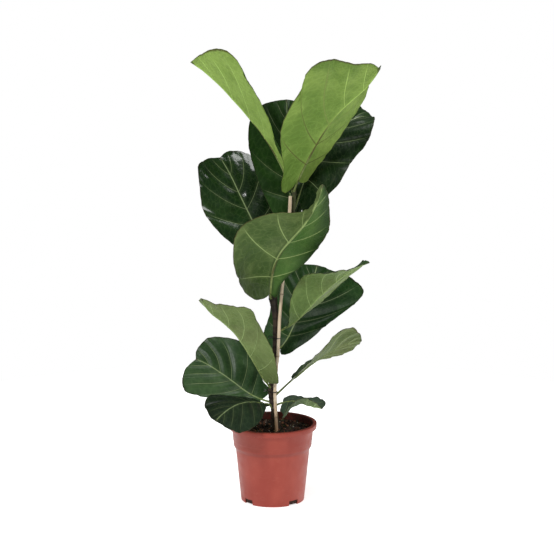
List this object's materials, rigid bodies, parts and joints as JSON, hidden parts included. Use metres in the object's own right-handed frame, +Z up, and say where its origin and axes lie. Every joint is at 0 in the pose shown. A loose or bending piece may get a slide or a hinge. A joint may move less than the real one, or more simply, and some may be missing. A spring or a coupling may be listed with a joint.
{
  "type": "potted fiddle leaf fig plant",
  "caption": "Young fiddle leaf fig with large veined leaves on one slim trunk, tied to a bamboo stake, in a terracotta-coloured plastic nursery pot.",
  "frame": {"origin": "centre of the pot's flat underside, on the surface that the plant stands on", "axes": "+Z up along the plant, -Y towards the viewer of the picture, +X to the viewer's right"},
  "size_m": [0.4118, 0.454, 0.9756],
  "materials": {
    "pot_plastic": "satin",
    "potting_soil": "matte",
    "fig_bark": "matte",
    "bamboo": "satin",
    "tie_wire": "satin",
    "leaf_green": "satin",
    "leaf_light_green": "matte"
  },
  "bodies": {
    "root": {"pot": "pot_plastic", "soil": "potting_soil", "trunk": "fig_bark", "stake": "bamboo", "tie_lower": "tie_wire", "tie_upper": "tie_wire", "leaf_01": "leaf_light_green", "leaf_02": "leaf_light_green", "leaf_03": "leaf_green", "leaf_04": "leaf_green", "leaf_05": "leaf_green", "leaf_06": "leaf_light_green", "leaf_07": "leaf_light_green", "leaf_08": "leaf_green", "leaf_09": "leaf_light_green", "leaf_10": "leaf_light_green", "leaf_11": "leaf_green", "leaf_12": "leaf_green", "leaf_13": "leaf_green"}
  },
  "joints": []
}
